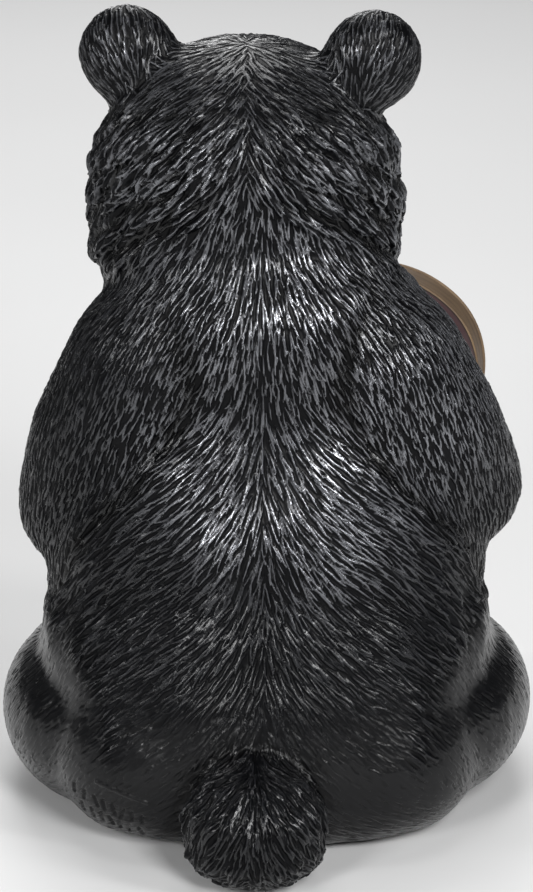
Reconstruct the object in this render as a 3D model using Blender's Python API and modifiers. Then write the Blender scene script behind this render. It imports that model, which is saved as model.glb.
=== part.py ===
"""A seated bear figurine that holds a small guitar, in metres, +Z up. The bear faces -Y, so its right side
is at -X. The origin is the middle of the figure's box, on the surface that it sits on."""

import math

import bmesh
import bpy
import numpy as np
from mathutils import Euler, Matrix, Vector
from mathutils.bvhtree import BVHTree

# The bear
BEAR_HEIGHT = 0.290  # floor to the top of the ears
BEAR_TRIANGLES = 7600  # the solid is thinned to about this many
FIT_GAP = 0.0004  # clearance between the guitar and the fur that it is set into

# The guitar
LOWER_BOUT_RADIUS = 0.0445
UPPER_BOUT_RADIUS = 0.0305
BOUT_SPACING = 0.050  # lower bout's centre to upper bout's centre
WAIST_RADIUS = 0.020  # radius of the hollow at the waist
TAIL_FLATNESS = 0.86  # how far the tail end is pressed in, 1 for a true circle
SHOULDER_FLATNESS = 0.70
BODY_DEPTH = 0.028  # back plate to top plate
BOARD_RISE = 0.0022  # the fingerboard stands this far above the top plate
PLATE_THICKNESS = 0.0024
PLATE_OVERHANG = 0.0013  # the plates stand this far proud of the ribs
SOUND_HOLE_RADIUS = 0.0125
SOUND_HOLE_DEPTH = 0.003
SOUND_HOLE_CENTRE = 0.028  # from the lower bout's centre
BOARD_CLEARANCE = 0.0015  # between the sound hole and the fingerboard
BRIDGE_SETBACK = 0.022  # lower bout's centre to the bridge's far edge
BRIDGE_THICKNESS = 0.0055
BRIDGE_RISE = 0.0018
BRIDGE_OVERREACH = 0.0065  # the bridge is this much wider than the neck on either side
NECK_LENGTH = 0.038
NECK_WIDTH = 0.013
NECK_DEPTH = 0.011
HEADSTOCK_LENGTH = 0.026
HEADSTOCK_WIDTH = 0.020
HEADSTOCK_DEPTH = 0.007
HEADSTOCK_FLARE = 0.006  # length over which the neck widens to the headstock
HEADSTOCK_TAPER = 0.86  # far end's width as a share of the widest
HEADSTOCK_RISE = 0.0006  # the headstock stands this far above the top plate
JOINT_OVERLAP = 0.004  # how far the headstock's root runs into the neck
JOINT_TAPER = 0.9  # that root's width as a share of the neck's
SEAT = 0.001  # how deep the bridge and the pegs are let in
PEG_RADIUS = 0.0022
PEG_REACH = 0.0045
PEG_SPACING = 0.0062
PEG_START = 0.0085  # end of the neck to the first peg
GUITAR_TILT = math.radians(43)  # how far the neck points up
GUITAR_YAW = math.radians(12)  # how far the neck points forward

# One unit of the bear's own proportions: a millimetre when the bear is 290 mm tall
UNIT = BEAR_HEIGHT / 290
CLAY_GRAIN = 1.8 * UNIT  # the grain at which the bear's forms are fused

GUITAR_PLACE = Vector((-36.5, -82, 131.5)) * UNIT  # back of the lower bout's centre

BLACK = ("black_paint", (0.013, 0.013, 0.015, 1), 0.38)
BROWN = ("wood_paint", (0.20, 0.12, 0.075, 1), 0.55)


def clear_scene():
    for old in list(bpy.data.objects):
        bpy.data.objects.remove(old)


def paint(obj, look):
    name, colour, roughness = look
    material = bpy.data.materials.new(name)
    material.use_nodes = True
    shader = material.node_tree.nodes["Principled BSDF"]
    shader.inputs["Base Color"].default_value = colour
    shader.inputs["Roughness"].default_value = roughness
    shader.inputs["Metallic"].default_value = 0
    obj.data.materials.append(material)


def new_object(name, mesh, collection):
    obj = bpy.data.objects.new(name, mesh)
    collection.objects.link(obj)
    return obj


def evaluated_mesh(obj):
    graph = bpy.context.evaluated_depsgraph_get()
    return bpy.data.meshes.new_from_object(obj.evaluated_get(graph))


# Clay: closed shapes that may pass through each other until they are fused


def add_ball(clay, centre, radii, turn=(0, 0, 0)):
    """An ellipsoid in the bear's units, turned by degrees about its own axes."""
    turned = Euler([math.radians(angle) for angle in turn]).to_matrix().to_4x4()
    place = Matrix.Translation(Vector(centre) * UNIT) @ turned @ Matrix.Diagonal((*(Vector(radii) * UNIT), 1))
    bmesh.ops.create_icosphere(clay, subdivisions=4, radius=1, matrix=place)


def add_limb(clay, joints):
    """A tapering limb through (centre, radius) joints: each two neighbours are wrapped in one skin."""
    for (start, start_radius), (end, end_radius) in zip(joints, joints[1:]):
        ends = bmesh.new()
        for centre, radius in ((start, start_radius), (end, end_radius)):
            add_ball(ends, centre, (radius, radius, radius))
        points = [vertex.co.copy() for vertex in ends.verts]
        ends.free()
        skin = bmesh.new()
        for point in points:
            skin.verts.new(point)
        wrapped = bmesh.ops.convex_hull(skin, input=skin.verts)
        spare = {item for item in wrapped["geom_interior"] if isinstance(item, bmesh.types.BMVert)}
        bmesh.ops.delete(skin, geom=list(spare), context="VERTS")
        bmesh.ops.recalc_face_normals(skin, faces=skin.faces)
        piece = bpy.data.meshes.new("limb")
        skin.to_mesh(piece)
        skin.free()
        clay.from_mesh(piece)
        bpy.data.meshes.remove(piece)


def fuse(clay, smoothing, grain=CLAY_GRAIN):
    """Makes one skin round all the clay, softened by that many passes, and returns it as a mesh."""
    rough = bpy.data.meshes.new("clay")
    clay.to_mesh(rough)
    clay.free()
    lump = new_object("clay", rough, bpy.context.scene.collection)
    remesh = lump.modifiers.new("fuse", "REMESH")
    remesh.mode = "VOXEL"
    remesh.voxel_size = grain
    smooth = lump.modifiers.new("soften", "SMOOTH")
    smooth.factor = 0.5
    smooth.iterations = smoothing
    fused = evaluated_mesh(lump)
    bpy.data.objects.remove(lump)
    bpy.data.meshes.remove(rough)
    return fused


def add_hump(clay):
    """The rise between the shoulders, shared by the back and the shoulders so that the two run together."""
    add_ball(clay, (2, -17, 177), (58, 44, 40), (12, 0, 0))
    add_ball(clay, (0, -20, 154), (58, 43, 28))


def torso():
    """The pear of the back, belly and rump, in one smooth sweep."""
    clay = bmesh.new()
    add_ball(clay, (0, 5, 30), (66, 52, 42))
    add_ball(clay, (0, -6, 47), (76, 58, 44))
    add_ball(clay, (0, -18, 62), (83, 64, 56))
    add_ball(clay, (0, -24, 92), (80, 62, 70))
    add_ball(clay, (0, -26, 124), (64, 54, 58))
    add_hump(clay)
    for side in (1, -1):
        add_ball(clay, (side * 35, 3, 27), (44, 47, 37))
        add_ball(clay, (side * 24, -21, 124), (38, 50.5, 37))
    return fuse(clay, 22, 3.4 * UNIT)


def thigh_and_leg(side):
    clay = bmesh.new()
    add_ball(clay, (side * 57, -28, 30.5 - side * 1.5), (41, 55, 35.5), (0, 0, side * 6))
    add_ball(clay, (side * 57, -58, 28), (39 - side, 46, 29))
    add_limb(
        clay,
        [((side * 60, -64, 29), 29), ((side * 60, -100, 26), 25), ((side * 54, -116, 24), 22)],
    )
    return fuse(clay, 12, 2.6 * UNIT)


def foot(side):
    """A foot with its sole to the front: five clawed toes over one large pad."""
    clay = bmesh.new()
    add_ball(clay, (side * 55, -122, 30), (22, 14, 31), (-12, 0, side * -6))
    add_ball(clay, (side * 55, -131, 25), (14, 6, 16), (-8, 0, 0))
    for toe in range(5):
        spread = (toe - 2) / 2
        x, z = side * 55 + spread * 15.5, 55 - 5 * spread * spread
        add_ball(clay, (x, -129, z), (5.4, 8, 8), (-15, spread * 14, 0))
        add_ball(clay, (x, -135, z - 1), (3.6, 3.4, 4.2))
        add_limb(clay, [((x, -131, z + 6), 2.8), ((x, -139, z + 8), 1.5)])
    return fuse(clay, 2, 1.3 * UNIT)


def shoulders():
    """The hump between the shoulders and both upper arms down to the elbows, like a cape."""
    clay = bmesh.new()
    add_hump(clay)
    add_limb(clay, [((37, -14, 162), 35), ((55, -22, 132), 31), ((65, -30, 107), 26)])
    add_limb(clay, [((-37, -14, 161), 35), ((-55, -22, 135), 31), ((-68, -32, 114), 25.5)])
    return fuse(clay, 14, 2.8 * UNIT)


def forearms():
    clay = bmesh.new()
    add_limb(clay, [((66, -34, 107), 22), ((60, -72, 132), 18), ((40, -99, 171), 13)])
    add_limb(clay, [((-68, -36, 112), 22), ((-76, -76, 112), 17), ((-64, -112, 112), 15)])
    return fuse(clay, 8)


def head():
    clay = bmesh.new()
    add_ball(clay, (7.5, -33, 234), (52, 49, 44.5))
    for side in (1, -1):
        add_ball(clay, (7.5 + side * 28, -36, 219), (26, 36, 34))
        add_ball(clay, (6 + side * 17, -68, 240), (15, 14, 12))
    add_ball(clay, (7.5, -30, 203), (53, 44, 27))
    add_ball(clay, (5, -70, 220), (24, 24, 20))
    add_ball(clay, (4, -22, 192), (40, 40, 30))
    return fuse(clay, 10, 2.6 * UNIT)


def ear(side):
    clay = bmesh.new()
    centre = Vector((5.8 + side * 42.8, -29 - side * 4.5, 271.5))
    add_ball(clay, centre, (19, 12, 19), (0, side * 20, side * -14))
    return fuse(clay, 2)


def muzzle_and_eyes():
    clay = bmesh.new()
    add_ball(clay, (4, -88, 212), (21, 25, 16), (8, 0, 0))
    add_ball(clay, (4, -84, 201), (16, 20, 11))
    add_ball(clay, (3, -110, 218), (9.5, 7, 7.5))
    for side in (1, -1):
        add_ball(clay, (5 + side * 19, -77.5, 237), (5.5, 5.5, 5.5))
    return fuse(clay, 3)


def neck_hand():
    """The left hand, closed round the guitar's neck from below."""
    clay = bmesh.new()
    place = guitar_place()
    board_top = BODY_DEPTH + BOARD_RISE
    below = NECK_WIDTH / 2 + 6 * UNIT

    def on_neck(along, across, out):
        return place @ Vector((along, across, out)) / UNIT

    first = BOUT_SPACING + UPPER_BOUT_RADIUS * SHOULDER_FLATNESS + 9 * UNIT
    add_ball(clay, on_neck(first + 12 * UNIT, -below - 4 * UNIT, BODY_DEPTH * 0.35), (15, 15, 15))
    for finger in range(4):
        along = first + 8.2 * UNIT * finger
        low = on_neck(along, -below, BODY_DEPTH / 2)
        bend = on_neck(along, -below, board_top + 1 * UNIT)
        tip = on_neck(along - 1 * UNIT, -1 * UNIT, board_top + 3.4 * UNIT)
        claw = on_neck(along - 2 * UNIT, 6 * UNIT, board_top + 2.4 * UNIT)
        add_limb(clay, [(low, 5.4), (bend, 5), (tip, 4.2)])
        add_limb(clay, [(tip, 2.8), (claw, 1.5)])
    return fuse(clay, 3, 1.3 * UNIT)


def string_hand():
    """The right hand, laid over the guitar's strings with its claws to the left."""
    clay = bmesh.new()
    add_ball(clay, (-50, -121, 117), (20, 12, 15), (0, 15, 0))
    for finger in range(4):
        root = Vector((-38, -124, 128 - 7 * finger))
        tip = root + Vector((15 - 1.5 * finger, 1, 2 - 2 * finger))
        add_limb(clay, [(root, 5.6), (tip, 4.4)])
        add_limb(clay, [(tip + Vector((1, 0, 0)), 2.8), (tip + Vector((8, 2, -1)), 1.4)])
    return fuse(clay, 3, 1.3 * UNIT)


def tail():
    clay = bmesh.new()
    add_ball(clay, (4, 62, 19), (25, 25, 22))
    add_ball(clay, (4, 50, 26), (20, 20, 18))
    return fuse(clay, 3)


def bear_skin():
    """The whole bear before the floor and the guitar are cut from it, as one smooth mesh."""
    forms = [
        torso(),
        shoulders(),
        forearms(),
        head(),
        muzzle_and_eyes(),
        tail(),
        *(thigh_and_leg(side) for side in (1, -1)),
        *(foot(side) for side in (1, -1)),
        *(ear(side) for side in (1, -1)),
        neck_hand(),
        string_hand(),
    ]
    clay = bmesh.new()
    for form in forms:
        clay.from_mesh(form)
        bpy.data.meshes.remove(form)
    return fuse(clay, 5, 1.5 * UNIT)


# Locks of fur: pointed ridges that stand up from the skin, each laid over the next row's roots


def tier_locks(tree, count, reach, back_height, side_height, length, chance):
    """Locks in a ring round the head: the ring is high at the nape and falls towards the cheeks.
    It reaches that many degrees to either side of the nape."""
    axis = Vector((6, -32, 0)) * UNIT
    locks = []
    for step in range(count):
        turn = (step + 0.5 + chance.uniform(-0.25, 0.25)) / count * 2 - 1
        angle = turn * math.radians(reach)
        fall = min(1, abs(angle) / math.radians(80))
        height = back_height + (side_height - back_height) * fall + chance.uniform(-3, 3)
        outward = Vector((math.sin(angle), math.cos(angle), 0))
        around = Vector((math.cos(angle), -math.sin(angle), 0)) * math.copysign(1, angle)
        slant = 0.8 * math.sin(min(abs(angle), math.radians(120)) * 1.1) + 0.1
        calm = 0.35 + 0.65 * min(1, abs(angle) / math.radians(40))
        from_axis = Vector((axis.x, axis.y, height * UNIT)) + outward * 200 * UNIT
        hit, normal, _, _ = tree.ray_cast(from_axis, -outward)
        locks.append((hit, normal, around * slant - Vector((0, 0, 1)), length, 5.4, 2.3 * calm))
    return locks


def fringe_locks(tree, start, end, count, flow, length, chance, rise=2.2):
    """Locks in a row on the back of the bear, between two (x, z) places, that all flow one way."""
    locks = []
    for step in range(count):
        share = (step + 0.5) / count
        x, z = (a + (b - a) * share + chance.uniform(-1, 1) for a, b in zip(start, end))
        hit, normal, _, _ = tree.ray_cast(Vector((x, 250, z)) * UNIT, Vector((0, -1, 0)))
        size = chance.uniform(0.85, 1.2)
        locks.append((hit, normal, Vector((flow[0], 0, flow[1])), length * size, 4.4 * size, rise))
    return locks


def tail_locks(tree, chance):
    locks = []
    centre = Vector((4, 60, 20)) * UNIT
    for ring, (lift, count) in enumerate(((62, 9), (28, 13), (-4, 14))):
        for step in range(count):
            angle = ((step + 0.5 * (ring % 2)) / count * 2 - 1) * math.radians(125)
            level = math.radians(lift + chance.uniform(-4, 4))
            outward = Vector(
                (math.sin(angle) * math.cos(level), math.cos(angle) * math.cos(level), math.sin(level))
            )
            hit, normal, _, _ = tree.ray_cast(centre + outward * 100 * UNIT, -outward)
            fan = Vector((math.sin(angle), math.cos(angle), -1.2))
            locks.append((hit, normal, fan, 13, 4, 1.6))
    return locks


def all_locks(tree):
    chance = np.random.default_rng(7)
    locks = []
    for count, reach, back_height, side_height, length in (
        (22, 112, 267, 243, 17),
        (24, 122, 260, 227, 19),
        (28, 135, 251, 211, 21),
        (30, 145, 242, 197, 19),
    ):
        locks += tier_locks(tree, count, reach, back_height, side_height, length, chance)
    for side in (1, -1):
        # Under the upper arm, from the spine to the elbow
        locks += fringe_locks(tree, (side * 34, 148), (side * 70, 106), 10, (side * 0.8, -1), 17, chance)
        locks += fringe_locks(tree, (side * 48, 152), (side * 80, 116), 8, (side * 0.7, -1), 16, chance, 1.4)
        # Down the side of the waist
        locks += fringe_locks(tree, (side * 70, 96), (side * 76, 70), 4, (side * 0.9, -0.8), 15, chance)
        locks += fringe_locks(tree, (side * 60, 98), (side * 64, 62), 5, (side * 0.9, -0.8), 15, chance, 1.5)
        # Over the haunch
        locks += fringe_locks(tree, (side * 42, 64), (side * 76, 66), 7, (side * 0.7, -1), 16, chance)
        locks += fringe_locks(tree, (side * 50, 50), (side * 84, 48), 6, (side * 0.6, -1), 15, chance, 1.2)
    return locks + tail_locks(tree, chance)


def raise_locks(mesh):
    """Lifts the skin along its normals wherever a lock lies."""
    count = len(mesh.vertices)
    places = np.empty(count * 3)
    normals = np.empty(count * 3)
    mesh.vertices.foreach_get("co", places)
    mesh.vertices.foreach_get("normal", normals)
    places, normals = places.reshape(-1, 3), normals.reshape(-1, 3)
    lift = np.zeros(count)
    skin = bmesh.new()
    skin.from_mesh(mesh)
    tree = BVHTree.FromBMesh(skin)
    skin.free()
    for root, out, flow, length, half_width, rise in all_locks(tree):
        along = (flow - out * flow.dot(out)).normalized()
        across = out.cross(along)
        offset = places - np.array(root)
        reach = offset @ np.array(along) / (length * UNIT)
        aside = np.abs(offset @ np.array(across)) / (half_width * UNIT)
        depth = np.abs(offset @ np.array(out)) / (length * UNIT)
        within = (reach > 0) & (reach < 1) & (depth < 0.6) & (normals @ np.array(out) > 0.25)
        width = np.sqrt(np.clip(1 - reach, 0, 1)) * np.clip(0.45 + 1.8 * reach, 0, 1)
        ridge = np.clip(1 - (aside / np.maximum(width, 1e-6)) ** 2, 0, 1)
        slope = np.clip(reach / 0.55, 0, 1)
        lift = np.maximum(lift, np.where(within, ridge * slope * rise * UNIT, 0))
    mesh.vertices.foreach_set("co", (places + normals * lift[:, None]).ravel())
    mesh.update()
    return mesh


# The guitar, in its own frame: X along the neck from the lower bout's centre, Z out of the top plate


def body_outline(growth):
    """The guitar's outline as points: two bouts joined by a hollow at the waist, each an arc."""
    lower = LOWER_BOUT_RADIUS + growth
    upper = UPPER_BOUT_RADIUS + growth
    waist = WAIST_RADIUS - growth
    reach_lower, reach_upper = lower + waist, upper + waist
    waist_x = (reach_lower**2 - reach_upper**2 + BOUT_SPACING**2) / (2 * BOUT_SPACING)
    waist_y = math.sqrt(reach_lower**2 - waist_x**2)
    leave_lower = math.atan2(waist_y, waist_x)
    meet_upper = math.atan2(waist_y, waist_x - BOUT_SPACING)
    half = []
    for step in range(13):
        angle = math.pi + (leave_lower - math.pi) * step / 12
        x = lower * math.cos(angle)
        half.append((x * (TAIL_FLATNESS if x < 0 else 1), lower * math.sin(angle)))
    for step in range(1, 5):
        angle = math.pi + leave_lower + (meet_upper - leave_lower) * step / 5
        half.append((waist_x + waist * math.cos(angle), waist_y + waist * math.sin(angle)))
    for step in range(8):
        angle = meet_upper * (1 - step / 7)
        x = upper * math.cos(angle)
        half.append((BOUT_SPACING + x * (SHOULDER_FLATNESS if x > 0 else 1), upper * math.sin(angle)))
    return half + [(x, -y) for x, y in reversed(half[1:-1])]


def slab(outline, bottom, top):
    """A closed solid with that outline, from one height to another, made from a filled 2D curve."""
    curve = bpy.data.curves.new("slab", "CURVE")
    curve.dimensions = "2D"
    curve.fill_mode = "BOTH"
    curve.extrude = (top - bottom) / 2
    spline = curve.splines.new("POLY")
    spline.points.add(len(outline) - 1)
    for point, (x, y) in zip(spline.points, outline):
        point.co = (x, y, 0, 1)
    spline.use_cyclic_u = True
    shape = new_object("slab", curve, bpy.context.scene.collection)
    mesh = evaluated_mesh(shape)
    bpy.data.objects.remove(shape)
    bpy.data.curves.remove(curve)
    mesh.transform(Matrix.Translation((0, 0, (top + bottom) / 2)))
    welded = bmesh.new()
    welded.from_mesh(mesh)
    bmesh.ops.remove_doubles(welded, verts=welded.verts, dist=1e-6)
    bmesh.ops.recalc_face_normals(welded, faces=welded.faces)
    welded.to_mesh(mesh)
    welded.free()
    return mesh


def box_between(low, high):
    block = bmesh.new()
    size = Vector(high) - Vector(low)
    middle = (Vector(high) + Vector(low)) / 2
    bmesh.ops.create_cube(block, size=1, matrix=Matrix.Translation(middle) @ Matrix.Diagonal((*size, 1)))
    mesh = bpy.data.meshes.new("block")
    block.to_mesh(mesh)
    block.free()
    return mesh


def rod(centre, radius, depth, turn=(0, 0, 0), segments=24):
    """A cylinder whose axis is Z before it is turned."""
    cylinder = bmesh.new()
    place = Matrix.Translation(centre) @ Euler(turn).to_matrix().to_4x4()
    bmesh.ops.create_cone(
        cylinder, cap_ends=True, segments=segments, radius1=radius, radius2=radius, depth=depth, matrix=place
    )
    mesh = bpy.data.meshes.new("rod")
    cylinder.to_mesh(mesh)
    cylinder.free()
    return mesh


def combine(name, first, others, operation, collection, solver="EXACT"):
    """One object: the first mesh joined with, or cut by, each of the others in turn."""
    obj = new_object(name, first, collection)
    for other in others:
        tool = new_object("tool", other, collection)
        boolean = obj.modifiers.new("combine", "BOOLEAN")
        boolean.operation = operation
        boolean.solver = solver
        boolean.object = tool
        result = evaluated_mesh(obj)
        obj.modifiers.clear()
        obj.data = result
        bpy.data.objects.remove(tool)
    return obj


def guitar_forms(growth):
    """The guitar's closed forms, each larger all round by the growth. A grown one is plain: it only
    makes room."""
    neck_end = BOUT_SPACING + UPPER_BOUT_RADIUS * SHOULDER_FLATNESS + NECK_LENGTH
    half_neck = NECK_WIDTH / 2 + growth
    half_root = half_neck * JOINT_TAPER
    half_head = HEADSTOCK_WIDTH / 2 + growth
    half_tip = half_head * HEADSTOCK_TAPER
    half_bridge = half_neck + BRIDGE_OVERREACH
    root = neck_end - JOINT_OVERLAP
    flare = neck_end + HEADSTOCK_FLARE
    tip = neck_end + HEADSTOCK_LENGTH + growth
    if growth:
        body = [slab(body_outline(growth), -growth, BODY_DEPTH + growth)]
    else:
        body = [
            slab(body_outline(-PLATE_OVERHANG), PLATE_THICKNESS / 2, BODY_DEPTH - PLATE_THICKNESS / 2),
            slab(body_outline(0), 0, PLATE_THICKNESS),
            slab(body_outline(0), BODY_DEPTH - PLATE_THICKNESS, BODY_DEPTH),
        ]
    board_start = SOUND_HOLE_CENTRE + SOUND_HOLE_RADIUS + BOARD_CLEARANCE
    neck = box_between(
        (board_start, -half_neck, BODY_DEPTH - NECK_DEPTH - growth),
        (neck_end + growth, half_neck, BODY_DEPTH + BOARD_RISE + growth),
    )
    outline = [(root, -half_root), (flare, -half_head), (tip, -half_tip)]
    outline += [(along, -across) for along, across in reversed(outline)]
    headstock = slab(outline, BODY_DEPTH - HEADSTOCK_DEPTH - growth, BODY_DEPTH + HEADSTOCK_RISE + growth)
    bridge = box_between(
        (-BRIDGE_SETBACK - growth, -half_bridge, BODY_DEPTH - SEAT),
        (-BRIDGE_SETBACK + BRIDGE_THICKNESS + growth, half_bridge, BODY_DEPTH + BRIDGE_RISE + growth),
    )
    pegs = [] if growth else [peg(neck_end, row, side) for row in range(3) for side in (1, -1)]
    return [*body, neck, headstock, bridge, *pegs]


def peg(neck_end, row, side):
    along = neck_end + PEG_START + row * PEG_SPACING
    out = side * (HEADSTOCK_WIDTH / 2 + PEG_REACH / 2 - SEAT)
    return rod((along, out, BODY_DEPTH - HEADSTOCK_DEPTH / 2), PEG_RADIUS, PEG_REACH, (math.pi / 2, 0, 0), 10)


def guitar_place():
    """The guitar's frame in the bear's: the neck points up, forward and to the bear's left."""
    forward = Vector((-math.sin(GUITAR_YAW), -math.cos(GUITAR_YAW), 0))
    level = Vector((math.cos(GUITAR_YAW), -math.sin(GUITAR_YAW), 0))
    along = level * math.cos(GUITAR_TILT) + Vector((0, 0, 1)) * math.sin(GUITAR_TILT)
    across = forward.cross(along)
    turned = Matrix((along, across, forward)).transposed().to_4x4()
    return Matrix.Translation(GUITAR_PLACE) @ turned


def make_guitar(name, growth, collection):
    forms = guitar_forms(growth)
    guitar = combine(name, forms[0], forms[1:], "UNION", collection)
    if not growth:
        hole = rod((SOUND_HOLE_CENTRE, 0, BODY_DEPTH), SOUND_HOLE_RADIUS, 2 * SOUND_HOLE_DEPTH)
        board = guitar.data
        cut = combine("cut", board, [hole], "DIFFERENCE", collection)
        guitar.data = cut.data
        bpy.data.objects.remove(cut)
    guitar.data.transform(guitar_place())
    return guitar


def thin(mesh, triangles, collection):
    obj = new_object("thin", mesh, collection)
    decimate = obj.modifiers.new("thin", "DECIMATE")
    decimate.use_collapse_triangulate = True
    decimate.ratio = triangles / (2 * len(mesh.polygons))
    thinned = evaluated_mesh(obj)
    bpy.data.objects.remove(obj)
    return thinned


def make_bear(collection):
    skin = thin(raise_locks(bear_skin()), BEAR_TRIANGLES, collection)
    below = box_between(Vector((-200, -250, -60)) * UNIT, Vector((200, 200, 0)) * UNIT)
    pocket = make_guitar("pocket", FIT_GAP, collection)
    pocket_mesh = pocket.data
    bpy.data.objects.remove(pocket)
    return combine("bear", skin, [below, pocket_mesh], "DIFFERENCE", collection)


def centre_on_origin(objects):
    """Moves the solids so that the middle of their box is over the origin."""
    points = [vertex.co for obj in objects for vertex in obj.data.vertices]
    middle = [(min(p[axis] for p in points) + max(p[axis] for p in points)) / 2 for axis in (0, 1)]
    for obj in objects:
        obj.data.transform(Matrix.Translation((-middle[0], -middle[1], 0)))


def main():
    clear_scene()
    collection = bpy.data.collections.new("bear_figurine")
    bpy.context.scene.collection.children.link(collection)
    bear = make_bear(collection)
    guitar = make_guitar("guitar", 0, collection)
    centre_on_origin([bear, guitar])
    paint(bear, BLACK)
    paint(guitar, BROWN)


main()
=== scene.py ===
# A seated black bear with a small guitar: carved fur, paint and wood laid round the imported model
import math
import time

import bpy
import numpy as np
from mathutils import Matrix, Vector


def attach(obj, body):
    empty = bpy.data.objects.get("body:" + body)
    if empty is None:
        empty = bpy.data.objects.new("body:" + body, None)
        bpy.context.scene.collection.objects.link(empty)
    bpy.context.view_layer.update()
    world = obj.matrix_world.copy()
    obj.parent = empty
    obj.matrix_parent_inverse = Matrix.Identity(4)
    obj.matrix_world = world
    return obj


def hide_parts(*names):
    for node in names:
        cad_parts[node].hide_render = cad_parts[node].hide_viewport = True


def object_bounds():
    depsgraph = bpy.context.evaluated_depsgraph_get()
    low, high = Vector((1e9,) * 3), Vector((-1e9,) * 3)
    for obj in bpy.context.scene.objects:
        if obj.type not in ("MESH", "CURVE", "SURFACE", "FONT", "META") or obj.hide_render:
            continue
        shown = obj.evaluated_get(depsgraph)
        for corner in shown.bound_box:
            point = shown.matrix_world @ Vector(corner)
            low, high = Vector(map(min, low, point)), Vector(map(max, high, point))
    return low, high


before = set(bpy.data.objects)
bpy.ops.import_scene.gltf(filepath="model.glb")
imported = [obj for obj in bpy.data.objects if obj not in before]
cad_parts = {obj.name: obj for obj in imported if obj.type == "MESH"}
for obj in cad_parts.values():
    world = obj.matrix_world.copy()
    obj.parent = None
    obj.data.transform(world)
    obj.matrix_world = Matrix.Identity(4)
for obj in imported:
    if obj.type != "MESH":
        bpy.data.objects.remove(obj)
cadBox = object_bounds()
mm = 0.001
started = time.perf_counter()
chance = np.random.default_rng(11)
modelShift = np.array([-0.038, 25.527, 0])  # mm from the bear's own centre lines to the model's


# Small helpers

def report(words):
    print("scene: %s, %.0f s" % (words, time.perf_counter() - started))


def deselectAll():
    bpy.ops.object.select_all(action="DESELECT")


def editMode(kind="EDIT"):
    bpy.ops.object.mode_set(mode=kind)


def endEdit():
    # Turns every face outwards and leaves edit mode
    bpy.ops.mesh.select_all(action="SELECT")
    bpy.ops.mesh.normals_make_consistent(inside=False)
    editMode("OBJECT")


def makeActive(obj):
    deselectAll()
    bpy.context.view_layer.objects.active = obj
    obj.select_set(True)


def addObject(name, mesh):
    obj = bpy.data.objects.new(name, mesh)
    bpy.context.scene.collection.objects.link(obj)
    return obj


def modify(obj, kind, **settings):
    modifier = obj.modifiers.new(kind, kind)
    for key, value in settings.items():
        setattr(modifier, key, value)
    makeActive(obj)
    bpy.ops.object.modifier_apply(modifier=modifier.name)


def readPoints(mesh, what="co"):
    values = np.empty(len(mesh.vertices) * 3, np.float32)
    mesh.vertices.foreach_get(what, values)
    return values.reshape(-1, 3).astype(np.float64)


def writePoints(mesh, points):
    mesh.vertices.foreach_set("co", np.asarray(points, np.float32).ravel())
    mesh.update()


def addNumbers(mesh, name, values):
    layer = mesh.attributes.new(name, "FLOAT", "POINT")
    layer.data.foreach_set("value", np.asarray(values, np.float32))


def ease(low, high, value):
    share = np.clip((value - low) / (high - low), 0, 1)
    return share * share * (3 - 2 * share)


def unit(vectors):
    return vectors / np.maximum(np.linalg.norm(vectors, axis=-1, keepdims=True), 1e-9)


def dress(obj, material, node):
    obj.data.materials.clear()
    obj.data.materials.append(material)
    obj.data.name = obj.name
    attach(obj, "root")
    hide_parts(node)


# Shader maths as plain expressions

class Wire:
    # One socket of a material's nodes, so that sums can be written as sums
    def __init__(self, tree, socket):
        self.tree, self.socket = tree, socket

    def math(self, kind, other=0, swap=False):
        node = self.tree.nodes.new("ShaderNodeMath")
        node.operation = kind
        for place, value in enumerate((other, self) if swap else (self, other)):
            if isinstance(value, Wire):
                self.tree.links.new(value.socket, node.inputs[place])
            else:
                node.inputs[place].default_value = value
        return Wire(self.tree, node.outputs[0])

    def __add__(self, other): return self.math("ADD", other)
    def __radd__(self, other): return self.math("ADD", other)
    def __sub__(self, other): return self.math("SUBTRACT", other)
    def __rsub__(self, other): return self.math("SUBTRACT", other, True)
    def __mul__(self, other): return self.math("MULTIPLY", other)
    def __rmul__(self, other): return self.math("MULTIPLY", other)


class Finish:
    # A material and its Principled shader
    def __init__(self, name, **constants):
        self.material = bpy.data.materials.new(name)
        self.material.use_nodes = True
        self.tree = self.material.node_tree
        self.shader = self.tree.nodes["Principled BSDF"]
        for key, value in constants.items():
            self.shader.inputs[key.replace("_", " ")].default_value = value

    def node(self, kind, settings=None, output=0, **values):
        made = self.tree.nodes.new(kind)
        for key, value in (settings or {}).items():
            setattr(made, key, value)
        for key, value in values.items():
            key = key.replace("_", " ")
            socket = made.inputs[int(key[1:])] if key[0] == "i" and key[1:].isdigit() else made.inputs[key]
            if isinstance(value, Wire):
                self.tree.links.new(value.socket, socket)
            else:
                socket.default_value = value
        return Wire(self.tree, made.outputs[output])

    def feed(self, socket, wire):
        self.tree.links.new(wire.socket, self.shader.inputs[socket])

    def place(self):
        return self.node("ShaderNodeTexCoord", output=3)

    def noise(self, where, scale, detail=3, rough=0.5):
        return self.node("ShaderNodeTexNoise", Vector=where, Scale=scale, Detail=detail, Roughness=rough)

    def number(self, name):
        return self.node("ShaderNodeAttribute", {"attribute_name": name}, output=2)

    def mix(self, share, first, second):
        return self.node("ShaderNodeMix", {"data_type": "RGBA"}, output=2, i0=share, i6=first, i7=second)

    def vector(self, kind, where, other):
        # One number from a place and a fixed vector
        return self.node("ShaderNodeVectorMath", {"operation": kind}, output=1, i0=where, i1=tuple(other))

    def ramp(self, share, low, high):
        # 0 below low, 1 above high
        return self.node("ShaderNodeMapRange", {"clamp": True}, Value=share, From_Min=low, From_Max=high)

    def bump(self, height, strength, distance):
        return self.node("ShaderNodeBump", Height=height, Strength=strength, Distance=distance)


# The bear's skeleton, as (x, y, z, radius) joints in mm: it says which part of the bear a point belongs to

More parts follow.
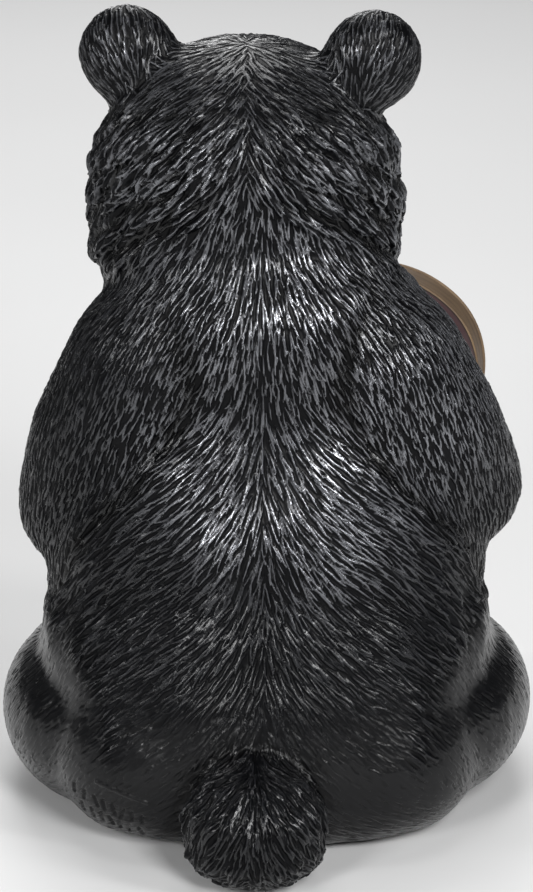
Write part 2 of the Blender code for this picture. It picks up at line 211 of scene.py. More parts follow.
shareBlend = 2.5  # mm over which one part passes into the next
skeleton = {
    "head": [(7, -33, 236, 48), (7, -31, 206, 51)],
    "muzzle": [(4, -78, 212, 20), (3, -108, 214, 12)],
    "leftEar": [(48.5, -33.5, 271.5, 18)],
    "rightEar": [(-37, -24.5, 271.5, 18)],
    "back": [(0, -17, 174, 44), (0, -18, 130, 50), (0, -14, 80, 66), (0, 0, 40, 54)],
    "leftArm": [(37, -14, 162, 35), (55, -22, 132, 31), (65, -30, 107, 26)],
    "rightArm": [(-37, -14, 161, 35), (-55, -22, 135, 31), (-68, -32, 114, 25)],
    "leftForearm": [(66, -36, 107, 22), (60, -72, 132, 18), (40, -99, 171, 14)],
    "rightForearm": [(-68, -38, 112, 22), (-76, -76, 112, 17), (-64, -112, 112, 15), (-48, -121, 117, 17)],
    "leftThigh": [(57, -12, 31, 38), (58, -60, 29, 32), (60, -104, 26, 24)],
    "rightThigh": [(-57, -12, 33, 38), (-58, -60, 29, 32), (-60, -104, 26, 24)],
    "leftFoot": [(55, -122, 10, 16), (55, -126, 55, 14)],
    "rightFoot": [(-55, -122, 10, 16), (-55, -126, 55, 14)],
    "tail": [(4, 52, 26, 18), (4, 62, 19, 24)],
}


def chainDistance(points, chain):
    joints = [(np.array(joint[:3], float), joint[3]) for joint in chain]
    joints = joints * 2 if len(joints) == 1 else joints
    best = np.full(len(points), np.inf)
    for (start, startRadius), (end, endRadius) in zip(joints, joints[1:]):
        axis = end - start
        share = np.clip((points - start) @ axis / max(axis @ axis, 1e-9), 0, 1)
        reach = np.linalg.norm(points - start - share[:, None] * axis, axis=1)
        best = np.minimum(best, reach - startRadius - (endRadius - startRadius) * share)
    return best


def bodyShares(points):
    distances = {part: chainDistance(points, chain) for part, chain in skeleton.items()}
    nearest = np.min(list(distances.values()), axis=0)
    shares = {part: np.exp(-(away - nearest) / shareBlend) for part, away in distances.items()}
    total = sum(shares.values())
    return {part: share / total for part, share in shares.items()}


# Which way the fur lies

flow = {
    "crown": (7, -22, 290),  # the fur of the head runs away from here
    "nose": (4, -108, 214),  # and the fur of the face from here
    "leftEarRoot": (43, -33, 254),
    "rightEarRoot": (-31, -25, 254),
    # how far the fur leans out at the spine, how much more it does further out, and where
    "spineFan": (0.15, 1.35, 38),
    "shoulderFan": (0.04, 1.2, 64),
    "rumpFan": (0.3, 1.2, 46),
    "napeFan": (0.35, 0.95, 26),
    "jitter": 5,  # degrees
}


def toward(points, start, spread=(1, 1, 1), drop=0):
    return unit((points - np.array(start)) * np.array(spread) + np.array((0, 0, -drop)))


def fanOut(off, fan):
    least, most, reach = fan
    return least + most * np.minimum(off / reach, 1)


def furFlow(points, normals, shares):
    x, y, z = points.T
    off = np.abs(x - 1)
    zero = np.zeros_like(x)
    face = ease(48, 68, -y)[:, None]
    chevron = unit(np.stack((np.sign(x - 7) * fanOut(np.abs(x - 7), flow["napeFan"]), zero, zero - 1), 1))
    top = ease(262, 282, z)[:, None]
    nape = toward(points, flow["crown"], (1.6, 1, 1), 8) * top + chevron * (1 - top)
    fields = {
        "head": nape * (1 - face) + toward(points, flow["nose"], (1.3, 1, 1)) * face,
        "muzzle": np.stack((0.02 * (x - 4), zero + 1, 0.02 * (z - 212)), 1),
        "leftEar": toward(points, flow["leftEarRoot"], (1, 0.5, 1)),
        "rightEar": toward(points, flow["rightEarRoot"], (1, 0.5, 1)),
        "tail": np.stack(((x - 4) * 0.07, zero + 0.4, zero - 0.9), 1),
    }
    high, rump, belly = ease(145, 165, z), ease(75, 45, z), ease(20, 45, -y)
    fan = fanOut(off, flow["spineFan"]) * (1 - high) + fanOut(off, flow["shoulderFan"]) * high
    fan = fan * (1 - rump) + fanOut(off, flow["rumpFan"]) * rump
    fan = fan * (1 - belly) + 0.4 * belly
    fields["back"] = np.stack((np.sign(x - 1) * fan, zero, zero - 1), 1)
    for name, sign in (("left", 1), ("right", -1)):
        arm = np.array((sign * 0.4, -0.1, -1.0))
        fields[name + "Arm"] = np.broadcast_to(arm, points.shape)
        elbow, wrist = (np.array(skeleton[name + "Forearm"][spot][:3], float) for spot in (0, -1))
        fields[name + "Forearm"] = np.broadcast_to(wrist - elbow, points.shape)
        forward = ease(10, 60, -y)[:, None]
        hip = unit(np.stack((zero + sign * 1.1, zero - 0.4, zero - 1), 1))
        fields[name + "Thigh"] = hip * (1 - forward) + np.array((0, -1, -0.15)) * forward
        fields[name + "Foot"] = np.broadcast_to(np.array((0, -0.5, 0.8)), points.shape)
    below = ease(4, -4, z - ruff["edge"][0] + ruff["edge"][1] * np.abs(x - 6)) * ease(-30, -10, y)
    fields["head"] = fields["head"] * (1 - below[:, None]) + unit(fields["back"]) * below[:, None]
    total = sum(unit(field) * shares[part][:, None] for part, field in fields.items())
    total = unit(total - normals * (total * normals).sum(1, keepdims=True))
    turn = np.radians(chance.normal(0, flow["jitter"], len(x)))[:, None]
    return total * np.cos(turn) + np.cross(normals, total) * np.sin(turn)


ruff = {  # mm
    "axis": (6, -32, 0),
    "around": (58, 56),  # its reach from the axis, sideways and behind
    "spacing": 4.6,
    "rows": (  # degrees to either side of the nape, height at the nape and at the cheeks
        (112, 270, 247), (118, 263, 236), (122, 256, 225), (128, 248, 214), (132, 240, 203), (138, 232, 192),
    ),
    "edge": (231, 0.62),  # the lower edge at the nape, and its fall to either side
}

paintedHighlight = {  # how bright the painted highlight on the strokes' crests is
    "least": 0.05,
    "most": 0.95,
    "front": 0.5,
    "spots": (  # where the painted highlight is brightest: (x, z, reach) in mm on the back
        (28, 140, 15), (-30, 138, 19), (-20, 112, 13), (14, 116, 9), (22, 184, 14), (-16, 194, 15),
        (-58, 156, 20), (28, 238, 18), (-28, 222, 20), (52, 276, 8), (-36, 276, 9),
    ),
}


def wornShare(points):
    # The share of painted highlight on the crests: most at the listed spots on the back, an even share on the
    # front
    x, y, z = points.T
    spots = sum(np.exp(-((x - a) ** 2 + (z - b) ** 2) / (2 * reach ** 2)) for a, b, reach in paintedHighlight["spots"])
    behind = ease(-60, -30, y)
    return behind * np.clip(paintedHighlight["least"] + paintedHighlight["most"] * spots, 0, 1) + (1 - behind) * paintedHighlight["front"]


def border(shares, one, other):
    return np.clip(4 * shares[one] * shares[other], 0, 1)


def furMaps(points, shares):
    # Where the locks, tufts, strokes and nicks are, and how deep, from 0 to about 1
    x, y, z = points.T
    thighs = shares["leftThigh"] + shares["rightThigh"]
    ears = shares["leftEar"] + shares["rightEar"]
    feet = shares["leftFoot"] + shares["rightFoot"]
    foreArms = shares["leftForearm"] + shares["rightForearm"]
    arms = shares["leftArm"] + shares["rightArm"]
    muzzle = shares["muzzle"]
    face = shares["head"] * ease(52, 70, -y)
    ruffEdge = ruff["edge"][0] - ruff["edge"][1] * np.abs(x - 6)
    mane = shares["head"] * ease(272, 250, z) * (1 - face) * ease(-4, 4, z - ruffEdge)
    behind, low = ease(-20, 0, y), ease(72, 36, z)
    fringe = sum(border(shares, name + "Arm", "back") for name in ("left", "right")) * ease(165, 145, z)
    hips = sum(border(shares, name + "Thigh", "back") for name in ("left", "right")) * ease(25, 45, z)
    waist = shares["back"] * ease(50, 64, np.abs(x)) * ease(50, 60, z) * ease(118, 100, z)
    belly = shares["back"] * ease(25, 50, -y)
    seat = np.clip(shares["back"] * low * behind + thighs, 0, 1) * (1 - np.clip(hips, 0, 1))
    sole = feet * ease(127, 131, -y)
    hands = foreArms * ease(92, 104, -y)
    fromNose = np.linalg.norm((points - (3, -112, 218)) * (0.9, 1, 1.1), axis=1)
    nose = ease(11.5, 8.5, fromNose)
    skin = (1 - np.clip(sole + ease(3, 1, z) + nose, 0, 1)) * (1 - 0.7 * muzzle)
    fringes = 0.8 * shares["tail"] + 0.8 * fringe + 0.7 * hips + 0.6 * waist
    calm = ease(0, 18, np.abs(x - 7))  # the nape is combed finer in the middle
    tufts = np.clip(0.3 + 0.3 * mane + fringes + 0.4 * belly - 0.24 * seat - 0.15 * ears, 0, 1.3)
    return {
        "locks": np.clip(mane * (0.5 + 0.5 * calm) + 0.45 * fringes, 0, 1) * skin,
        "ruffRows": ruffRows(points, shares),
        "tufts": tufts * (1 - 0.8 * face) * (1 - 0.7 * hands) * skin,
        "strokes": np.clip(1 - 0.78 * seat - 0.4 * face - 0.25 * ears - 0.4 * feet - 0.4 * hands, 0, 1) * skin,
        "nicks": np.clip(0.95 * seat + 0.2 - 0.2 * arms, 0, 1) * skin * (1 - hands) * (1 - face),
        "length": 1 + 0.3 * shares["back"] * ease(165, 145, z) * (1 - low) - 0.25 * ears - 0.2 * arms,
        "brown": np.clip(muzzle * 1.2, 0, 1) * (1 - nose) * ease(182, 190, z),
        "pads": np.clip(sole, 0, 1),
        "nose": nose,
    }


# Strokes: every one is a pointed ridge, and the higher one wins where two cross

class PointGrid:
    # Sorts points into cubes, so that the points near a place are found quickly
    def __init__(self, points, cell):
        self.cell = cell
        self.low = points.min(0) - 2 * cell
        spots = self.spots(points)
        self.size = spots.max(0) + 3
        keys = self.key(spots)
        self.order = np.argsort(keys, kind="stable")
        found = np.unique(keys[self.order], return_index=True, return_counts=True)
        self.keys, self.starts, self.counts = found

    def spots(self, places):
        return ((places - self.low) / self.cell).astype(np.int64)

    def key(self, spots):
        return (spots[:, 0] * self.size[1] + spots[:, 1]) * self.size[2] + spots[:, 2]

    def near(self, places):
        spots = self.spots(places)
        for step in np.ndindex(3, 3, 3):
            keys = self.key(spots + np.array(step) - 1)
            found = np.minimum(np.searchsorted(self.keys, keys), len(self.keys) - 1)
            which = np.nonzero(self.keys[found] == keys)[0]
            counts = self.counts[found[which]]
            if not counts.sum():
                continue
            firsts = np.repeat(self.starts[found[which]] - np.cumsum(counts) + counts, counts)
            yield np.repeat(which, counts), self.order[firsts + np.arange(counts.sum())]


fur = {  # sizes in mm
    "formGrain": 1.8,  # between the points of the smooth form
    "formSmooth": 3,
    "calmSmooth": 30,  # passes that take the flats out of the plain parts
    "napeSmooth": 160,  # passes that let the back run up into the nape, and the rump into the haunches
    "doublings": 2,
    "crease": 1.9,  # the borders between the parts are sunk by this much
    "sink": 0.4,  # the form is drawn in, so that the strokes stay inside the model
    "margin": 0.05,  # what stays free inside the model's box
    "mostTriangles": 186000,  # in a piece
    # count: places tried. gap: the oval that each keeps clear. lift: how much lower its root is
    "locks": {
        "count": 260,
        "length": 17, "halfWidth": 2.2, "rise": 2.7, "sharp": 1.5, "spread": 0.25, "lift": 0.9,
    },
    "tufts": {
        "count": 9000, "gap": (6, 2.4),
        "length": 11, "halfWidth": 1.8, "rise": 1.1, "sharp": 1.4, "spread": 0.25, "lift": 0.7,
    },
    "strokes": {
        "count": 110000, "gap": (3.8, 1.02),
        "length": 7.6, "halfWidth": 0.74, "rise": 0.62, "sharp": 1.2, "spread": 0.25, "lift": 0.45,
    },
    "nicks": {
        "count": 12000, "gap": (3.2, 1.3),
        "length": 4.4, "halfWidth": 0.42, "rise": 0.38, "sharp": 1.2, "spread": 0.3, "lift": 0,
    },
}
thickness = 3  # mm: what is further off than this along the normal belongs to another surface


def ruffRows(points, shares):
    # The points where the ruff's locks grow: rings round the head that hang down towards the cheeks
    head = np.nonzero((shares["head"] > 0.4) | (points[:, 2] > 185) & (shares["back"] > 0.4))[0]
    around = points[head]
    middle, (wide, deep) = np.array(ruff["axis"]), ruff["around"]
    seeds = []
    for reach, nape, cheek in ruff["rows"]:
        count = int(math.radians(reach) * 2 * 52 / ruff["spacing"])
        for angle in np.radians(np.linspace(-reach, reach, count) + chance.uniform(-1.5, 1.5, count)):
            fall = min(1, abs(angle) / math.radians(85))
            height = nape + (cheek - nape) * fall + chance.uniform(-2, 2)
            target = middle + (wide * math.sin(angle), deep * math.cos(angle), height)
            seeds.append(head[np.argmin(((around - target) ** 2).sum(1))])
    return np.array(seeds)


def keepClear(places, out, along, gap):
    # Which of the places stay when each keeps an oval round itself clear of later ones
    across = np.cross(out, along)
    first, second = [], []
    for who, other in PointGrid(places, gap[0].max()).near(places):
        who, other = who[other > who], other[other > who]
        offset = places[other] - places[who]
        lengthwise, sideways = (offset * along[who]).sum(1), (offset * across[who]).sum(1)
        oval = (lengthwise / gap[0][who]) ** 2 + (sideways / gap[1]) ** 2
        close = (oval < 1) & (np.abs((offset * out[who]).sum(1)) < thickness)
        first.append(who[close])
        second.append(other[close])
    first, second = np.concatenate(first), np.concatenate(second)
    kept, waiting = np.zeros(len(places), bool), np.ones(len(places), bool)
    while waiting.any():
        free = waiting.copy()
        free[second[waiting[first] & waiting[second]]] = False
        kept |= free
        waiting &= ~free
        waiting[second[free[first]]] = False
    return np.nonzero(kept)[0]


def strokeLift(points, normals, maps, name):
    # How far every point is lifted, and where it is across its stroke: 0 on the crest, -1 and 1 at the sides
    layer, depths = fur[name], maps[name]
    weights = np.clip(depths, 0, 1)
    seeds = chance.choice(len(points), layer["count"], replace=False)
    seeds = seeds[weights[seeds] > chance.uniform(0.03, 0.5, len(seeds))]
    if name == "locks":
        seeds = chance.choice(len(points), layer["count"], replace=False, p=weights / weights.sum())
        seeds = np.concatenate((maps["ruffRows"], seeds))
    out = normals[seeds]
    along = furFlow(points[seeds], out, bodyShares(points[seeds]))
    if "gap" in layer:
        gap = (layer["gap"][0] * maps["length"][seeds], layer["gap"][1])
        kept = keepClear(points[seeds], out, along, gap)
        seeds, out, along = seeds[kept], out[kept], along[kept]
    across = np.cross(out, along)
    size = 1 + chance.uniform(-layer["spread"], layer["spread"], len(seeds))
    length = layer["length"] * size * maps["length"][seeds]
    halfWidth = layer["halfWidth"] * (0.6 + 0.4 * size)
    rise = layer["rise"] * chance.uniform(0.6, 1, len(seeds))
    bend = chance.normal(0, 0.5, len(seeds)) * halfWidth
    root = points[seeds] - along * length[:, None] * 0.5
    cell = max(1.0, layer["halfWidth"] * 1.15)
    stations = int(math.ceil(length.max() / cell))
    grid = PointGrid(points, cell)
    lift, side = np.zeros(len(points)), np.ones(len(points))
    for station in range(stations):
        share = (station + 0.5) / stations
        for who, point in grid.near(root + along * (length * share)[:, None]):
            offset = points[point] - root[who]
            reach = (offset * along[who]).sum(1) / length[who]
            near = np.abs(reach * stations - station - 0.5) <= 0.51
            who, point, offset, reach = who[near], point[near], offset[near], reach[near]
            aside = (offset * across[who]).sum(1) - bend[who] * 4 * reach * (1 - reach)
            width = halfWidth[who] * np.sqrt(np.clip(4 * reach * (1 - reach), 0.0001, 1))
            ridge = 1 - (np.abs(aside) / width) ** layer["sharp"]
            height = np.abs((offset * out[who]).sum(1))
            agree = (normals[point] * out[who]).sum(1) > 0.35
            tip = 1 - layer["lift"] + layer["lift"] * ease(0, 0.8, reach)
            raised = ridge * rise[who] * tip
            good = np.nonzero((raised > lift[point]) & agree & (height < thickness))[0]
            good = good[np.argsort(raised[good])]  # the highest is written last
            lift[point[good]] = raised[good]
            side[point[good]] = (aside / width)[good]
    report("%s: %d cut" % (name, len(seeds)))
    return lift * depths, side


# Small cuts: nostrils, mouth, and the rows of plain strokes low on the left of the rump

cuts = {  # (joints in mm with a radius, depth)
    "nostrils": [([(-1.2, -116, 219, 1.5)], 1.3), ([(7.2, -116, 219, 1.5)], 1.3)],
    "mouth": [
        ([(3, -113, 212, 0.5), (3, -109, 205, 0.5), (-9, -103, 203, 0.5), (-16, -90, 206, 0.3)], 1.0),
        ([(3, -109, 205, 0.5), (15, -103, 203, 0.5), (22, -90, 206, 0.3)], 1.0),
    ],
    "softness": 1.1,
}

mark = {
    "first": (68, 21.5), "step": -3.4, "count": 8, "rowDrop": 7.2, "slope": 0.27,
    "size": 4.8, "radius": 0.25, "depth": 0.7, "softness": 0.6,
    "edge": [(60, 0, 26, 0.3), (42, 0, 21.5, 0.3)], "edgeRise": 0.45, "edgeSoftness": 0.8,
}


def cutDepth(points):
    depth = np.zeros(len(points))
    front = np.nonzero(points[:, 1] < -80)[0]
    for chain, deep in cuts["nostrils"] + cuts["mouth"]:
        away = chainDistance(points[front], chain)
        depth[front] = np.maximum(depth[front], deep * ease(cuts["softness"], 0, away))
    patch = np.nonzero((points[:, 1] > 0) & (points[:, 2] < 34) & (points[:, 0] > 34))[0]
    flat = points[patch] * (1, 0, 1)
    for row in range(2):
        for place in range(mark["count"] - row):
            x = mark["first"][0] + mark["step"] * place - 2 * row + chance.uniform(-0.5, 0.5)
            z = mark["first"][1] + mark["slope"] * mark["step"] * place - mark["rowDrop"] * row
            lean = chance.uniform(-1.5, 1.2)
            size = mark["size"] * chance.uniform(0.6, 1)
            away = chainDistance(flat, [(x, 0, z, mark["radius"]), (x + lean, 0, z - size, mark["radius"])])
            depth[patch] = np.maximum(depth[patch], mark["depth"] * ease(mark["softness"], 0, away))
    depth[patch] -= mark["edgeRise"] * ease(mark["edgeSoftness"], 0, chainDistance(flat, mark["edge"]))
    return depth


def smoothWhere(form, weights, passes):
    # Smooths the form, most where the weights are 1
    group = form.vertex_groups.new(name="soft")
    levels = np.round(np.clip(weights, 0, 1) * 10).astype(int)
    for level in range(1, 11):
        group.add(np.nonzero(levels == level)[0].tolist(), level / 10, "REPLACE")
    modify(form, "SMOOTH", factor=0.5, iterations=passes, vertex_group=group.name)
    form.vertex_groups.clear()


def makeForm():
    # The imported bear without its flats: a fine even mesh, softened most where the body is plain
    form = addObject("bear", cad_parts["bear"].data.copy())
    form.data.materials.clear()
    modify(form, "WELD", merge_threshold=1e-5)
    modify(form, "REMESH", mode="VOXEL", voxel_size=fur["formGrain"] * mm)
    modify(form, "SMOOTH", factor=0.5, iterations=fur["formSmooth"])
    points = readPoints(form.data) / mm - modelShift
    x, y, z = points.T
    shares = bodyShares(points)
    plain = sum(shares[part] ** 2 for part in ("back", "leftArm", "rightArm", "leftThigh", "rightThigh"))
    plain += shares["head"] ** 2 * (ease(255, 268, z) + ease(45, 60, -y))
    plain += shares["leftEar"] ** 2 + shares["rightEar"] ** 2
    plain += shares["leftForearm"] ** 2 + shares["rightForearm"] ** 2 * ease(100, 90, -y)
    smoothWhere(form, plain, fur["calmSmooth"])
    nape = ease(44, 14, np.abs(x - 5)) * ease(40, 16, np.abs(z - 208)) * ease(-20, 0, y)
    hips = (border(shares, "leftThigh", "back") + border(shares, "rightThigh", "back")) ** 0.35
    hips = hips * ease(60, 44, z) * ease(-25, -5, y)
    smoothWhere(form, nape + hips, fur["napeSmooth"])
    doublings = fur["doublings"]
    modify(form, "SUBSURF", levels=doublings, render_levels=doublings)
    report("form: %d points" % len(form.data.vertices))
    return form


pieceNames = ("bearHead", "bearUpperLeft", "bearUpperRight", "bearSeatLeft", "bearSeatRight")
seatTop = 70  # mm


def carveBear(form):
    # Returns the carved points, their numbers for the paint, and the piece that each belongs to
    points = readPoints(form.data) / mm - modelShift
    normals = readPoints(form.data, "normal")
    shares = bodyShares(points)
    maps = furMaps(points, shares)
    (locks, _), (tufts, _), (strokes, side), (nicks, _) = (
        strokeLift(points, normals, maps, name) for name in ("locks", "tufts", "strokes", "nicks")
    )
    besideNape = 0.7 * ease(18, 40, np.abs(points[:, 0] - 6))
    besideBack = {"leftArm": 1, "rightArm": 1, "tail": 0.6, "head": besideNape}
    creases = sum(deep * border(shares, part, "back") ** 1.5 for part, deep in besideBack.items())
    creases = np.clip(creases, 0, 1) * np.clip(maps["strokes"] * 2, 0, 1)
    lift = locks + tufts + strokes - nicks - fur["sink"] - fur["crease"] * creases - cutDepth(points)
    moved = (points + normals * lift[:, None] + modelShift) * mm
    low, high = np.array(cadBox[0]) + fur["margin"] * mm, np.array(cadBox[1]) - fur["margin"] * mm
    # The paint's relief share: lighter on raised tufts and strokes, darker in the nicks, creases and between
    # the locks: painted shade
    relief = np.clip(0.2 + tufts * 0.4 + strokes * 1.2 - nicks * 1.6 - creases * 0.5, 0, 1)
    relief *= 1 - 0.85 * maps["locks"] * ease(1.5, 0.3, locks)  # painted shade between the locks
    head = sum(shares[part] for part in ("head", "muzzle", "leftEar", "rightEar")) > 0.5
    right = (points[:, 0] < 0) & (shares["tail"] < 0.5)
    section = np.where(head, 0, 1 + 2 * (points[:, 2] < seatTop) + right)  # as in pieceNames
    numbers = {name: maps[name] for name in ("brown", "pads", "nose", "strokes")}
    numbers.update(relief=relief, side=side, crest=strokes / fur["strokes"]["rise"], worn=wornShare(points))
    report("fur: %d points" % len(points))
    return np.clip(moved, low, high), numbers, section


def pickFaces(name, points, quads, numbers):
    # A new piece from some of the faces
    used, corners = np.unique(quads, return_inverse=True)
    mesh = bpy.data.meshes.new(name)
    mesh.vertices.add(len(used))
    mesh.vertices.foreach_set("co", points[used].astype(np.float32).ravel())
    mesh.loops.add(quads.size)
    mesh.loops.foreach_set("vertex_index", corners.astype(np.int32).ravel())
    mesh.polygons.add(len(quads))
    mesh.polygons.foreach_set("loop_start", np.arange(0, quads.size, 4, dtype=np.int32))
    mesh.update(calc_edges=True)
    for key, values in numbers.items():
        addNumbers(mesh, key, values[used])
    return addObject(name, mesh)


def openEdge(piece):
    # Selects the piece's open edges and returns the points on them
    makeActive(piece)
    editMode()
    bpy.ops.mesh.select_mode(type="EDGE")
    bpy.ops.mesh.select_all(action="DESELECT")
    bpy.ops.mesh.select_non_manifold(extend=False)
    editMode("OBJECT")
    chosen = np.zeros(len(piece.data.vertices), bool)
    piece.data.vertices.foreach_get("select", chosen)
    return np.nonzero(chosen)[0]


def closePiece(piece):
    # Thins the piece, keeps the points and normals of its open edge, and closes it inside
    mesh = piece.data
    triangles = 2 * len(mesh.polygons)
    if triangles > fur["mostTriangles"]:
        inner = piece.vertex_groups.new(name="inner")
        inner.add(np.setdiff1d(np.arange(len(mesh.vertices)), openEdge(piece)).tolist(), 1, "REPLACE")
        share = fur["mostTriangles"] / triangles
        modify(piece, "DECIMATE", ratio=share, vertex_group="inner", vertex_group_factor=10)
        piece.vertex_groups.clear()
    mesh.shade_smooth()
    edge = openEdge(piece)
    seam = (edge, readPoints(mesh)[edge], readPoints(mesh, "normal")[edge])
    editMode()
    bpy.ops.mesh.extrude_edges_move()
    bpy.ops.mesh.merge(type="COLLAPSE")
    editMode("OBJECT")
    report("%s: %d faces" % (piece.name, len(mesh.polygons)))
    return seam


def matchSeams(pieces, seams):
    # The pieces share their normals along the seams, so that no seam shows
    stepsPerMetre = 2e5
    places = np.round(np.concatenate([seam[1] for seam in seams]) * stepsPerMetre).astype(np.int64)
    _, same = np.unique(places, axis=0, return_inverse=True)
    same = same.ravel()
    normals = np.zeros((same.max() + 1, 3))
    np.add.at(normals, same, np.concatenate([seam[2] for seam in seams]))
    normals = unit(normals)[same]
    first = 0
    for piece, seam in zip(pieces, seams):
        own = np.zeros((len(piece.data.vertices), 3), np.float32)
        own[seam[0]] = normals[first:first + len(seam[0])]
        first += len(seam[0])
        piece.data.normals_split_custom_set_from_vertices(own)


coat = {  # the bear's paint: colours, and the numbers between which a share goes from 0 to 1
    # The first two colours: the black in painted shade in the grooves, and lighter on raised fur. The third:
    # the light painted highlight on the stroke crests
    "deep": (0.0006, 0.0006, 0.0008, 1), "top": (0.0055, 0.006, 0.0078, 1), "worn": (0.2, 0.205, 0.222, 1),
    "muzzleDark": (0.02, 0.009, 0.005, 1), "muzzleLight": (0.12, 0.062, 0.034, 1),
    "pads": (0.014, 0.011, 0.0105, 1),
    "blotches": 38, "specks": 900,
    "ridge": (0.06, 0.5),
    # the next three ranges place the painted highlight line: on high crests, near their middle, on raised fur
    "lineCrest": (0.15, 0.65), "lineSide": (0.16, 0.01), "lineRelief": (0.1, 0.7),
    "varnish": (0.35, 1),
    "height": 0.0006, "speckShare": 0.03,
}


def paintBear():
    paint = Finish("blackPaint", IOR=1.2, Coat_Roughness=0.22, Coat_IOR=1.33)
    where = paint.place()
    relief, brown = paint.number("relief"), paint.number("brown")
    pads, nose = paint.number("pads"), paint.number("nose")
    crest, side = paint.number("crest"), paint.number("side")
    # the strokes again, finer than the mesh: a rounded ridge, and a painted highlight line on its crest
    hair = paint.ramp(crest, *coat["ridge"]) * (1 - side * side)
    highlightLine = paint.ramp(crest, *coat["lineCrest"]) * paint.ramp(side * side, *coat["lineSide"])
    highlightLine = highlightLine * paint.ramp(relief, *coat["lineRelief"])
    highlightLine = highlightLine * (1 - brown) * (1 - pads) * paint.number("worn")
    blotch = paint.noise(where, coat["blotches"], 4)
    speck = paint.noise(where, coat["specks"], 2)
    # the black is darker in the grooves, creases and between the locks and lighter on raised fur: painted
    # shade, with random blotches
    colour = paint.mix(relief * (0.3 + 0.9 * blotch), coat["deep"], coat["top"])
    # a light, metallic line on the crests: painted highlight
    colour = paint.mix(highlightLine, colour, coat["worn"])
    # the muzzle's brown is its own paint; its darker tone in the grooves is painted shade, with random blotches
    muzzle = paint.mix(relief * 0.8 + blotch * 0.3, coat["muzzleDark"], coat["muzzleLight"])
    colour = paint.mix(brown, colour, muzzle)
    colour = paint.mix(pads, colour, coat["pads"])
    paint.feed("Base Color", colour)
    paint.feed("Metallic", highlightLine)
    # the varnish reaches the ridges and the plain parts, not the bottoms of the grooves
    paint.feed("Coat Weight", paint.ramp(1 - paint.number("strokes") * (1 - hair), *coat["varnish"]))
    rough = 0.18 + 0.12 * blotch + 0.12 * (1 - hair)
    paint.feed("Roughness", rough + 0.15 * brown + 0.1 * pads - 0.1 * nose)
    paint.feed("Normal", paint.bump(hair + speck * coat["speckShare"], 1, coat["height"]))
    return paint.material


def makeBear():
    report("bear")
    form = makeForm()
    points, numbers, section = carveBear(form)
    corners = np.empty(len(form.data.loops), np.int32)
    form.data.loops.foreach_get("vertex_index", corners)
    quads = corners.reshape(-1, 4)
    owner = section[quads[:, 0]]
    pieces = [pickFaces(name, points, quads[owner == place], numbers) for place, name in enumerate(pieceNames)]
    bpy.data.objects.remove(form)
    seams = [closePiece(piece) for piece in pieces]
    matchSeams(pieces, seams)
    material = paintBear()
    for piece in pieces:
        dress(piece, material, "bear")


makeBear()


# Eyes and claws

eye = {  # mm
    "middle": (5, -78.6, 237), "apart": 19, "radius": 5.0, "front": (0.12, -0.97, 0.05),
    "iris": (3.4, 3.9), "pupil": (1.9, 2.3),  # where each begins and ends to fade
}

claw = {
    "radius": 2.9, "droop": 0.28,
    "rings": ((0.25, 0.98), (0.5, 0.85), (0.72, 0.62), (0.9, 0.36), (1.0, 0.12)),  # shares of length and radius
    "level": 14,  # this many droop towards the ground, and the rest, on the left hand, forward
}


def atModel(place):
    return Vector((np.array(place, float) + modelShift) * mm)


def makeEyes():
    report("eyes")
    for name, side in (("eyeLeft", 1), ("eyeRight", -1)):
        middle = np.array(eye["middle"]) + (side * eye["apart"], 0, 0)
        deselectAll()
        bpy.ops.mesh.primitive_uv_sphere_add(
            segments=40, ring_count=24, radius=eye["radius"] * mm, location=atModel(middle)
        )
        ball = bpy.context.object
        ball.name = name
        bpy.ops.object.transform_apply()
        bpy.ops.object.shade_smooth()
        glass = Finish(name + "Paint", Roughness=0.06, Coat_Weight=0.6, Coat_Roughness=0.03)
        front = middle + np.array(eye["front"]) * (side, 1, 1) * eye["radius"]
        away = glass.vector("DISTANCE", glass.place(), atModel(front)) * (1 / mm)
        speckle = glass.noise(glass.place(), 1500, 3)
        iris = glass.mix(speckle, (0.012, 0.005, 0.002, 1), (0.06, 0.026, 0.01, 1))
        colour = glass.mix(glass.ramp(away, *eye["pupil"]), (0.001, 0.001, 0.001, 1), iris)
        colour = glass.mix(glass.ramp(away, *eye["iris"]), colour, (0.002, 0.002, 0.002, 1))
        glass.feed("Base Color", colour)
        glass.feed("Normal", glass.bump(speckle, 0.02, 0.0001))
        dress(ball, glass.material, "bear")


def clawPlaces():
    # Start and end of every claw, in the bear's own mm
    places = []
    for side in (1, -1):
        for toe in range(5):
            spread = (toe - 2) / 2
            x, z = side * 55 + spread * 15.5, 61.5 - 5 * spread * spread
            places.append(((x, -130, z), (x, -139, z)))
    for finger in range(4):
        tip = np.array((-23 - 1.5 * finger, -123, 130 - 9 * finger))
        places.append((tip, tip + (9.5, 1, -1)))
    neck, boardTop = np.array(guitarPlace()), guitar["depth"] + guitar["board"]
    for finger in range(4):
        along = neckRoot() + 9 + 8.2 * finger
        ends = [(along - 1, 0, boardTop + 3.4), (along - 2.2, 7.5, boardTop + 2.2)]
        places.append(tuple((neck @ (*(np.array(end) * mm), 1))[:3] / mm - modelShift for end in ends))
    return places


